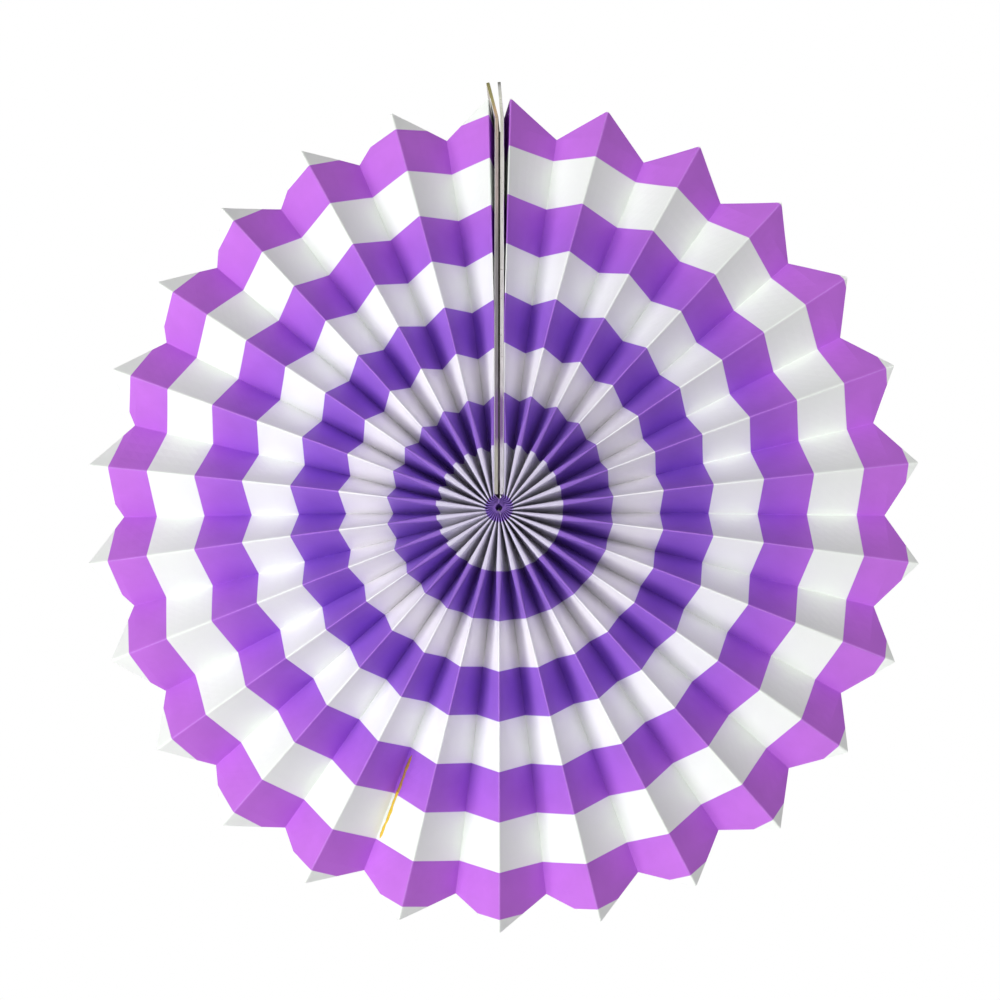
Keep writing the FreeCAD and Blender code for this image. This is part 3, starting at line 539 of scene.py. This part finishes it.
def printedPaperMaterial(ringsGroup):
    # Coated card paper, offset printed: flat dense ink, satin, with fibres that barely show and
    # a pale line along the outside of each fold, partly cracked ink and partly a painted crest highlight
    look = {
        # by distance from the hub: the ink is bluer and darker in the inner bands, which is painted shade
        # and painted purple bounce of the deep pleats, and paler right at the hub, which is painted light;
        # the bare paper is lavender there, painted purple bounce
        "inkWithPaintedShade": [(0.007, "#B68CF0"), (0.03, "#A278DA"), (0.055, "#A276DC"), (0.08, "#9E6ADA"),
                (0.105, "#9E67D9"), (0.13, "#AD6ADD"), (0.15, "#B66CDE"), (0.18, "#C473E1")],
        # bare paper, lavender and brightened near the hub: painted purple bounce and painted light in the
        # tight pleats
        "bare": [(0.012, "#F5F2FD"), (0.03, "#F8F6FE"), (0.055, "#FCFAFE"), (0.075, "#FDFBFE"),
                 (0.11, "#F9FAFA"), (0.15, "#F4F8F3")],
        "reach": 0.2,
        "mottleScale": 60,
        "mottleShare": 0.1,
        "crackedInkAndCrestHighlight": "#C78FE6",
        "crackAndHighlightFrom": 0.02,       # the folds near the hub are pressed, not cracked, and get no painted crest highlight
        "crackAndHighlightTo": 0.1,
        "crackAndHighlightWidth": 0.0003,
        "crackAndHighlightScale": 900,
        "paintedRidgeShade": "#DDD8E8",    # painted shade, lavender grey, on the ridge crowns near the hub
        "paintedRidgeShadeWidth": 0.004,
        "paintedRidgeShadeFrom": 0.03,
        "paintedRidgeShadeTo": 0.075,
        "fibreScale": 1400,      # real fibres are finer: drawn this coarse so that they show
        "fibreDepth": 0.00002,
        "satin": 0.48,
        "bareRoughness": 0.6,
    }
    material, tree, coordinates = newMaterial("offsetPrintedPaper")
    bare = addNode(tree, "ShaderNodeGroup", {"node_tree": ringsGroup})
    mottle = addNode(tree, "ShaderNodeTexNoise", None, {
        "Vector": coordinates, "Scale": look["mottleScale"], "Detail": 3})
    mottleShade = addNode(tree, "ShaderNodeMapRange", None, {
        "Value": mottle.outputs["Fac"], "To Min": 1 - look["mottleShare"],
        "To Max": 1 + look["mottleShare"]})
    radius = addNode(tree, "ShaderNodeAttribute", {"attribute_name": "stripRadius"}).outputs["Fac"]
    reachShare = addNode(tree, "ShaderNodeMath", {"operation": "DIVIDE"}, {0: radius, 1: look["reach"]})
    ramps = {}
    # both ramps carry painted shade and painted bounce towards the hub
    for name in ("inkWithPaintedShade", "bare"):
        ramps[name] = addNode(tree, "ShaderNodeValToRGB", None, {0: reachShare})
        fillRamp(ramps[name], look[name], look["reach"])
    inkWithPaintedShade = addNode(tree, "ShaderNodeMix", {"data_type": "RGBA", "blend_type": "MULTIPLY"}, {
        0: 1, 6: ramps["inkWithPaintedShade"], 7: mottleShade})
    place = addNode(tree, "ShaderNodeAttribute", {"attribute_name": "stripPlace"}).outputs["Fac"]
    fromRidge = addNode(tree, "ShaderNodeMath", {"operation": "PINGPONG"}, {0: place, 1: 1})
    nearRidge = {}
    for name in ("crackAndHighlightWidth", "paintedRidgeShadeWidth"):
        nearRidge[name] = addNode(tree, "ShaderNodeMapRange", {"interpolation_type": "SMOOTHSTEP"}, {
            "Value": fromRidge, "From Min": 0, "From Max": look[name] / pleatWidth, "To Min": 1,
            "To Max": 0})
    # pale line along each ridge crest: partly cracked ink, partly a painted highlight
    crackAndHighlightNoise = addNode(tree, "ShaderNodeTexNoise", None, {
        "Vector": coordinates, "Scale": look["crackAndHighlightScale"], "Detail": 2})
    crackAndHighlightReach = addNode(tree, "ShaderNodeMapRange", None, {
        "Value": radius, "From Min": look["crackAndHighlightFrom"], "From Max": look["crackAndHighlightTo"]})
    crackAndHighlightHere = addNode(tree, "ShaderNodeMath", {"operation": "MULTIPLY"}, {
        0: nearRidge["crackAndHighlightWidth"], 1: crackAndHighlightReach})
    crackAndHighlightShare = addNode(tree, "ShaderNodeMath", {"operation": "MULTIPLY"}, {
        0: crackAndHighlightHere, 1: crackAndHighlightNoise.outputs["Fac"]})
    markedColour = addNode(tree, "ShaderNodeMix", {"data_type": "RGBA"}, {
        0: crackAndHighlightShare, 6: inkWithPaintedShade.outputs[2], 7: linearColour(look["crackedInkAndCrestHighlight"])})
    colour = addNode(tree, "ShaderNodeMix", {"data_type": "RGBA"}, {
        0: bare, 6: markedColour.outputs[2], 7: ramps["bare"]})
    nearHub = addNode(tree, "ShaderNodeMapRange", {"interpolation_type": "SMOOTHSTEP"}, {
        "Value": radius, "From Min": look["paintedRidgeShadeFrom"], "From Max": look["paintedRidgeShadeTo"], "To Min": 1,
        "To Max": 0})
    # painted shade on the ridge crowns near the hub
    paintedRidgeShadeShare = addNode(tree, "ShaderNodeMath", {"operation": "MULTIPLY"}, {
        0: nearRidge["paintedRidgeShadeWidth"], 1: nearHub})
    paintedRidgeShade = addNode(tree, "ShaderNodeMix", {"data_type": "RGBA", "blend_type": "MULTIPLY"}, {
        0: paintedRidgeShadeShare, 6: colour.outputs[2], 7: linearColour(look["paintedRidgeShade"])})
    roughness = addNode(tree, "ShaderNodeMapRange", None, {
        "Value": bare, "To Min": look["satin"], "To Max": look["bareRoughness"]})
    fibres = addNode(tree, "ShaderNodeTexNoise", None, {
        "Vector": coordinates, "Scale": look["fibreScale"], "Detail": 4, "Distortion": 0.6})
    bump = addNode(tree, "ShaderNodeBump", None, {
        "Height": fibres.outputs["Fac"], "Distance": look["fibreDepth"], "Strength": 1})
    shader = addNode(tree, "ShaderNodeBsdfPrincipled", None, {
        "Base Color": paintedRidgeShade.outputs[2], "Roughness": roughness, "IOR": 1.47,
        "Specular IOR Level": 0.12, "Normal": bump})
    addNode(tree, "ShaderNodeOutputMaterial", None, {"Surface": shader})
    return material


def plainPaperMaterial(ringsGroup):
    # Unprinted back and cut edges of the same sheet: matt white, with the rings faintly showing
    # through and some ink rubbed on to the ends that are gathered at the hub
    look = {
        "paper": "#F2F0F2",
        "showThrough": "#E6DDED",
        "rubbed": "#A67EDC",
        "rubbedTo": 0.0045,
        "plainFrom": 0.0075,
        "cleanDepth": 0.009,      # no rubbed ink behind here
        "fibreScale": 1100,
        "fibreDepth": 0.00003,
        "cloudScale": 120,
    }
    material, tree, coordinates = newMaterial("plainPaperBack")
    bare = addNode(tree, "ShaderNodeGroup", {"node_tree": ringsGroup})
    clouds = addNode(tree, "ShaderNodeTexNoise", None, {
        "Vector": coordinates, "Scale": look["cloudScale"], "Detail": 5})
    covered = addNode(tree, "ShaderNodeMath", {"operation": "MAXIMUM"}, {0: bare, 1: clouds.outputs["Fac"]})
    colour = addNode(tree, "ShaderNodeMix", {"data_type": "RGBA"}, {
        0: covered, 6: linearColour(look["showThrough"]), 7: linearColour(look["paper"])})
    radius = addNode(tree, "ShaderNodeAttribute", {"attribute_name": "stripRadius"}).outputs["Fac"]
    clean = addNode(tree, "ShaderNodeMapRange", {"interpolation_type": "SMOOTHSTEP"}, {
        "Value": radius, "From Min": look["rubbedTo"], "From Max": look["plainFrom"]})
    _, depth, _ = addNode(tree, "ShaderNodeSeparateXYZ", None, {0: coordinates}).outputs
    behind = addNode(tree, "ShaderNodeMath", {"operation": "GREATER_THAN"}, {
        0: depth, 1: look["cleanDepth"]})
    cleanShare = addNode(tree, "ShaderNodeMath", {"operation": "MAXIMUM"}, {0: clean, 1: behind})
    markedColour = addNode(tree, "ShaderNodeMix", {"data_type": "RGBA"}, {
        0: cleanShare, 6: linearColour(look["rubbed"]), 7: colour.outputs[2]})
    fibres = addNode(tree, "ShaderNodeTexNoise", None, {
        "Vector": coordinates, "Scale": look["fibreScale"], "Detail": 4, "Distortion": 0.8})
    bump = addNode(tree, "ShaderNodeBump", None, {
        "Height": fibres.outputs["Fac"], "Distance": look["fibreDepth"], "Strength": 1})
    shader = addNode(tree, "ShaderNodeBsdfPrincipled", None, {
        "Base Color": markedColour.outputs[2], "Roughness": 0.7, "IOR": 1.45, "Specular IOR Level": 0.3,
        "Normal": bump})
    addNode(tree, "ShaderNodeOutputMaterial", None, {"Surface": shader})
    return material


def greyboardMaterial(name, edgeColoursWithPaintedLight):
    # Recycled greyboard: pressed in thin plies along the card, with darker fibres and flecks.
    # Its front edge is coloured by height: the purple and pinkish stops are painted bounce from the purple
    # paper, the darker greys painted shade between the paper flanks.
    look = {
        "cardTop": 0.21,
        "board": "#B5ACA2",
        "frontEdge": -0.015,     # at the hub, from where the edge tilts back
        "frontTilt": 0.03,
        "edgeBandDepth": 0.004,
        "plyScale": 2600,        # plies 0.4 mm thick, across the card
        "fibreScale": 500,
        "lengthScale": 160,
        "plyRange": (0.3, 0.7),
        "shade": 0.3,
        "fleck": "#8A8178",
        "fleckScale": 900,
        "fleckRange": (0.64, 0.8),
        "plyDepth": 0.00006,
    }
    material, tree, coordinates = newMaterial(name)
    _, depth, height = addNode(tree, "ShaderNodeSeparateXYZ", None, {0: coordinates}).outputs
    heightShare = addNode(tree, "ShaderNodeMath", {"operation": "DIVIDE"}, {0: height, 1: look["cardTop"]})
    # front-edge colours by height, holding painted bounce and painted shade
    edgeTintWithPaintedLight = addNode(tree, "ShaderNodeValToRGB", None, {0: heightShare})
    fillRamp(edgeTintWithPaintedLight, edgeColoursWithPaintedLight, look["cardTop"])
    fromFront = addNode(tree, "ShaderNodeMath", {"operation": "MULTIPLY_ADD"}, {
        0: height, 1: -look["frontTilt"], 2: depth})
    plainShare = addNode(tree, "ShaderNodeMapRange", {"interpolation_type": "SMOOTHSTEP"}, {
        "Value": fromFront, "From Max": look["frontEdge"] + look["edgeBandDepth"],
        "From Min": look["frontEdge"] + look["edgeBandDepth"] / 2})
    edgeWithPaintedLight = addNode(tree, "ShaderNodeMix", {"data_type": "RGBA"}, {
        0: plainShare, 6: edgeTintWithPaintedLight, 7: linearColour(look["board"])})
    along = addNode(tree, "ShaderNodeMapping", None, {
        "Vector": coordinates, "Scale": (look["plyScale"], look["fibreScale"], look["lengthScale"])})
    plies = addNode(tree, "ShaderNodeTexNoise", None, {"Vector": along, "Scale": 1, "Detail": 4})
    plyShare = addNode(tree, "ShaderNodeMapRange", None, {
        "Value": plies.outputs["Fac"], "From Min": look["plyRange"][0], "From Max": look["plyRange"][1],
        "To Min": 1 - look["shade"], "To Max": 1})
    body = addNode(tree, "ShaderNodeMix", {"data_type": "RGBA", "blend_type": "MULTIPLY"}, {
        0: 1, 6: edgeWithPaintedLight.outputs[2], 7: plyShare})
    flecks = addNode(tree, "ShaderNodeTexNoise", None, {
        "Vector": coordinates, "Scale": look["fleckScale"], "Detail": 2})
    fleckMask = addNode(tree, "ShaderNodeMapRange", None, {
        "Value": flecks.outputs["Fac"], "From Min": look["fleckRange"][0],
        "From Max": look["fleckRange"][1]})
    colour = addNode(tree, "ShaderNodeMix", {"data_type": "RGBA"}, {
        0: fleckMask, 6: body.outputs[2], 7: linearColour(look["fleck"])})
    bump = addNode(tree, "ShaderNodeBump", None, {
        "Height": plies.outputs["Fac"], "Distance": look["plyDepth"], "Strength": 1})
    shader = addNode(tree, "ShaderNodeBsdfPrincipled", None, {
        "Base Color": colour.outputs[2], "Roughness": 0.85, "IOR": 1.45, "Normal": bump})
    addNode(tree, "ShaderNodeOutputMaterial", None, {"Surface": shader})
    return material


def foamTapeMaterial():
    # Closed-cell foam tape: soft grey, with fine cells that scatter the light. It is paler and
    # lavender towards the hub.
    look = {
        "foam": "#6E6A64",
        "cell": "#4C4642",
        "cellScale": 2500,
        "cellDepth": 0.00008,
        "paleTowardsHub": "#A596AE",
        "paleMost": 0.8,
        "paleTo": 0.05,
        "plainFrom": 0.07,
    }
    material, tree, coordinates = newMaterial("closedCellFoam")
    cells = addNode(tree, "ShaderNodeTexVoronoi", None, {"Vector": coordinates, "Scale": look["cellScale"]})
    colour = addNode(tree, "ShaderNodeMix", {"data_type": "RGBA"}, {
        0: cells.outputs["Distance"], 6: linearColour(look["cell"]), 7: linearColour(look["foam"])})
    _, _, height = addNode(tree, "ShaderNodeSeparateXYZ", None, {0: coordinates}).outputs
    paleShare = addNode(tree, "ShaderNodeMapRange", None, {
        "Value": height, "From Min": look["paleTo"], "From Max": look["plainFrom"],
        "To Min": look["paleMost"], "To Max": 0})
    paleTowardsHub = addNode(tree, "ShaderNodeMix", {"data_type": "RGBA"}, {
        0: paleShare, 6: colour.outputs[2], 7: linearColour(look["paleTowardsHub"])})
    bump = addNode(tree, "ShaderNodeBump", None, {
        "Height": cells.outputs["Distance"], "Distance": look["cellDepth"], "Strength": 1})
    shader = addNode(tree, "ShaderNodeBsdfPrincipled", None, {
        "Base Color": paleTowardsHub.outputs[2], "Roughness": 0.9, "IOR": 1.49, "Normal": bump})
    addNode(tree, "ShaderNodeOutputMaterial", None, {"Surface": shader})
    return material


def cottonThreadMaterial():
    # Twisted white cotton: soft, with the twist as slanting lines of painted shade in its grooves
    look = {"cotton": "#EFEAE0", "paintedGrooveShade": "#B9B0A2", "twistScale": 700}
    material, tree, coordinates = newMaterial("twistedCotton")
    twist = addNode(tree, "ShaderNodeTexWave", {"bands_direction": "DIAGONAL"}, {
        "Vector": coordinates, "Scale": look["twistScale"], "Distortion": 1.5})
    # darker in the grooves of the twist: painted shade
    colour = addNode(tree, "ShaderNodeMix", {"data_type": "RGBA"}, {
        0: twist.outputs["Fac"], 6: linearColour(look["paintedGrooveShade"]), 7: linearColour(look["cotton"])})
    shader = addNode(tree, "ShaderNodeBsdfPrincipled", None, {
        "Base Color": colour.outputs[2], "Roughness": 0.95, "Sheen Weight": 0.3})
    addNode(tree, "ShaderNodeOutputMaterial", None, {"Surface": shader})
    return material


def driedGlueMaterial(ringsGroup):
    # Dried craft glue: smooth and clear yellow, so it takes on the band that it lies over
    look = {"overBare": "#E8C42E", "overInk": "#B4883F", "cloudy": "#D8B040", "cloudScale": 300,
            "cloudiest": 0.35}
    material, tree, coordinates = newMaterial("driedGlue")
    bare = addNode(tree, "ShaderNodeGroup", {"node_tree": ringsGroup})
    under = addNode(tree, "ShaderNodeMix", {"data_type": "RGBA"}, {
        0: bare, 6: linearColour(look["overInk"]), 7: linearColour(look["overBare"])})
    clouds = addNode(tree, "ShaderNodeTexNoise", None, {
        "Vector": coordinates, "Scale": look["cloudScale"], "Detail": 2})
    cloudShare = addNode(tree, "ShaderNodeMath", {"operation": "MULTIPLY"}, {
        0: clouds.outputs["Fac"], 1: look["cloudiest"]})
    colour = addNode(tree, "ShaderNodeMix", {"data_type": "RGBA"}, {
        0: cloudShare, 6: under.outputs[2], 7: linearColour(look["cloudy"])})
    shader = addNode(tree, "ShaderNodeBsdfPrincipled", None, {
        "Base Color": colour.outputs[2], "Roughness": 0.25, "IOR": 1.47})
    addNode(tree, "ShaderNodeOutputMaterial", None, {"Surface": shader})
    return material


ringsGroup = printedRingsGroup()
paper = pleatedPaper(printedPaperMaterial(ringsGroup), plainPaperMaterial(ringsGroup))
print("pleated paper:", len(paper.data.polygons), "faces")


# Glue line

def glueLine(material):
    # A squeezed line of glue on the printed face, laid on the paper point by point
    glue = {
        "outerRadius": 0.17,
        "innerRadius": 0.127,
        "angle": math.radians(200.2),
        "innerAngle": math.radians(200.0),
        "width": 0.0015,
        "height": 0.0003,
        "sunk": 0.00006,         # its underside lies in the face of the paper
        "endTaper": 16,          # each end narrows over a sixteenth of the length
        "endLeast": 0.02,
        # size of each slow wave, and its angle along the line and at the start
        "swells": ((0.14, 23, 0.6), (0.08, 61, 0)),
        "wanders": ((0.00012, 17, 0), (0.00006, 47, 1)),
        "castFrom": 0.1,         # the paper is looked for from this far in front
        "stations": 90,
        "sides": 8,
    }
    surface = BVHTree.FromObject(paper, bpy.context.evaluated_depsgraph_get())
    marks = {name: paper.data.attributes[name].data for name in ("stripRadius", "stripPlace")}
    inwards = Vector((0, 1, 0))
    points, faces, stripMarks = [], [], {name: [] for name in marks}
    for station in range(glue["stations"] + 1):
        share = station / glue["stations"]
        radius = glue["outerRadius"] + (glue["innerRadius"] - glue["outerRadius"]) * share
        angle = glue["angle"] + (glue["innerAngle"] - glue["angle"]) * share
        across = Vector((math.cos(angle), 0, -math.sin(angle)))
        fromEnd = glue["endTaper"] * min(share, 1 - share)
        ends = max(glue["endLeast"], min(1, fromEnd)) ** 0.5
        swell, wander = (sum(size * math.sin(turn * share + start) for size, turn, start in glue[waves])
                         for waves in ("swells", "wanders"))
        middle = Vector((math.sin(angle), 0, math.cos(angle))) * radius + across * wander
        above, below = [], []
        for side in range(glue["sides"] + 1):
            offset = 2 * side / glue["sides"] - 1
            aside = across * (offset * glue["width"] / 2 * ends * (1 + swell))
            start = middle + aside - inwards * glue["castFrom"]
            place, normal, faceIndex, _ = surface.ray_cast(start, inwards)
            corners = paper.data.polygons[faceIndex].vertices
            values = {name: sum(mark[corner].value for corner in corners) / len(corners)
                      for name, mark in marks.items()}
            lift = glue["height"] * ends * (1 + swell) * (1 - offset**2) ** 0.5
            above.append((place + normal * (lift - glue["sunk"] * abs(offset)), values))
            if 0 < side < glue["sides"]:
                below.append((place - normal * glue["sunk"], values))
        for place, values in above + below[::-1]:
            points.append(place)
            for name, value in values.items():
                stripMarks[name].append(value)
    around = 2 * glue["sides"]
    for station in range(glue["stations"]):
        first = station * around
        for side in range(around):
            after = (side + 1) % around
            faces.append((first + side, first + after, first + around + after, first + around + side))
    faces.append(tuple(range(around)))
    faces.append(tuple(range(len(points) - around, len(points))))
    mesh = bpy.data.meshes.new("glueLine")
    mesh.from_pydata([tuple(point) for point in points], [], faces)
    for name, values in stripMarks.items():
        mesh.attributes.new(name, "FLOAT", "POINT").data.foreach_set("value", values)
    shape = bmesh.new()
    shape.from_mesh(mesh)
    bmesh.ops.recalc_face_normals(shape, faces=shape.faces)
    shape.to_mesh(mesh)
    shape.free()
    mesh.shade_smooth()
    mesh.materials.append(material)
    bead = linkToScene("glueLine", mesh)
    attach(bead, "root")
    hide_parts("glue_line")
    return bead


glueLine(driedGlueMaterial(ringsGroup))
print("glue line ready")

# Cards, tape and thread keep their solids and get their finishes

# front edges of the cards by height: purple and pinkish stops are painted bounce from the purple paper,
# darker greys are painted shade between the paper flanks
leftCardEdgeWithPaintedLight = [(0.028, "#B4AFA6"), (0.034, "#7E5F92"), (0.052, "#7E5F92"), (0.058, "#8A838B"),
                   (0.125, "#8A8587"), (0.15, "#BBA9A6"), (0.17, "#B7AAA8"), (0.188, "#C2AE9C"),
                   (0.194, "#C8A882"), (0.199, "#A8A06C"), (0.208, "#9C955F")]
rightCardEdgeWithPaintedLight = [(0.028, "#D5CEDC"), (0.034, "#8A6A9E"), (0.052, "#8A6A9E"), (0.058, "#DAD3D8"),
                    (0.17, "#E2DFD8"), (0.188, "#D6D5C8"), (0.2, "#DDDED0"), (0.2055, "#C9C9C5"),
                    (0.2085, "#7D7C75")]
finishes = {
    "left_end_card": greyboardMaterial("greyboardOlive", leftCardEdgeWithPaintedLight),
    "right_end_card": greyboardMaterial("greyboardCream", rightCardEdgeWithPaintedLight),
    "card_tape": foamTapeMaterial(),
    "hub_thread": cottonThreadMaterial(),
}
for name, material in finishes.items():
    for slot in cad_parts[name].material_slots:
        slot.material = material
print("cards, tape and thread finished")


# Studio

def lamp(name, way, distance, size, power):
    # A square softbox that points at the middle of the object
    data = bpy.data.lights.new(name, "AREA")
    data.shape = "SQUARE"
    data.size = size
    data.energy = power
    box = linkToScene(name, data)
    box.location = way.normalized() * distance
    box.rotation_euler = (-way).to_track_quat("-Z", "Y").to_euler()


def seenDirectly(tree):
    # 1 for what the camera or a glossy surface sees, and 0 for the light that falls on things
    path = addNode(tree, "ShaderNodeLightPath")
    return path, addNode(tree, "ShaderNodeMath", {"operation": "MAXIMUM"}, {
        0: path.outputs["Is Camera Ray"], 1: path.outputs["Is Glossy Ray"]})


def studioFloor(look):
    # Pale floor far below the hanging object: it fades to plain white for the camera, and near
    # the object it keeps a soft shadow
    material, tree, coordinates = newMaterial("paleFloor")
    away = addNode(tree, "ShaderNodeVectorMath", {"operation": "LENGTH"}, {0: coordinates})
    fade = addNode(tree, "ShaderNodeMapRange", {"interpolation_type": "SMOOTHSTEP"}, {
        "Value": away.outputs["Value"], "From Min": look["floorNear"], "From Max": look["floorFar"],
        "To Min": look["floorGlow"], "To Max": 1})
    _, seen = seenDirectly(tree)
    shown = addNode(tree, "ShaderNodeMath", {"operation": "MULTIPLY"}, {0: seen, 1: fade})
    diffuse = addNode(tree, "ShaderNodeBsdfDiffuse", None, {"Color": linearColour(look["floor"])})
    white = addNode(tree, "ShaderNodeEmission", None, {"Color": (1, 1, 1, 1), "Strength": 1})
    mixed = addNode(tree, "ShaderNodeMixShader", None, {0: shown, 1: diffuse, 2: white})
    addNode(tree, "ShaderNodeOutputMaterial", None, {"Surface": mixed})
    reach = look["floorReach"]
    corners = [(-reach, -reach), (reach, -reach), (reach, reach), (-reach, reach)]
    mesh = bpy.data.meshes.new("studioFloor")
    mesh.from_pydata([(x, y, look["floorHeight"]) for x, y in corners], [], [(0, 1, 2, 3)])
    mesh.materials.append(material)
    linkToScene("studioFloor", mesh)


def studio():
    light = {
        "target": Vector((0, 0, 0.0045)),
        "cameraAzimuth": math.radians(2.0),
        "cameraElevation": math.radians(-3.4),
        "cameraDistance": 0.68,
        "lens": 50.5,
        "keyClock": math.radians(257),
        "keyForward": math.radians(45),
        "keyDistance": 1.5,
        "keySize": 0.7,
        "keyPower": 14.6,
        "fillWay": Vector((0.1, -1, 0.2)),
        "fillDistance": 1.6,
        "fillSize": 0.9,
        "fillPower": 5.6,
        "backWay": Vector((-0.4, 1, 0.5)),
        "backPower": 15,
        "ambient": 0.24,
        "floor": "#F0F0F0",
        "floorHeight": -0.6,
        "floorReach": 30,
        "floorNear": 0.75,
        "floorFar": 1.25,
        "floorGlow": 0.6,
    }
    scene = bpy.context.scene
    scene.view_settings.view_transform = "Standard"
    flat = math.cos(light["cameraElevation"])
    towards = Vector((math.sin(light["cameraAzimuth"]) * flat, -math.cos(light["cameraAzimuth"]) * flat,
                      math.sin(light["cameraElevation"])))
    camera = linkToScene("camera", bpy.data.cameras.new("camera"))
    camera.data.lens = light["lens"]
    camera.location = light["target"] + towards * light["cameraDistance"]
    camera.rotation_euler = (-towards).to_track_quat("-Z", "Y").to_euler()
    scene.camera = camera

    sideways = math.sin(light["keyForward"])
    keyWay = Vector((sideways * math.sin(light["keyClock"]), -math.cos(light["keyForward"]),
                     sideways * math.cos(light["keyClock"])))
    lamp("keySoftbox", keyWay, light["keyDistance"], light["keySize"], light["keyPower"])
    lamp("frontFill", light["fillWay"], light["fillDistance"], light["fillSize"], light["fillPower"])
    lamp("backFill", light["backWay"], light["fillDistance"], light["fillSize"], light["backPower"])
    studioFloor(light)

    world = bpy.data.worlds.new("studio")
    scene.world = world
    world.use_nodes = True
    tree = world.node_tree
    tree.nodes.clear()
    path, seen = seenDirectly(tree)
    seenOrThrough = addNode(tree, "ShaderNodeMath", {"operation": "MAXIMUM"}, {
        0: seen, 1: path.outputs["Is Transmission Ray"]})
    ambient = addNode(tree, "ShaderNodeBackground", None, {
        "Color": (1, 1, 1, 1), "Strength": light["ambient"]})
    white = addNode(tree, "ShaderNodeBackground", None, {"Color": (1, 1, 1, 1), "Strength": 1})
    mixed = addNode(tree, "ShaderNodeMixShader", None, {0: seenOrThrough, 1: ambient, 2: white})
    addNode(tree, "ShaderNodeOutputWorld", None, {"Surface": mixed})


studio()
print("studio ready")
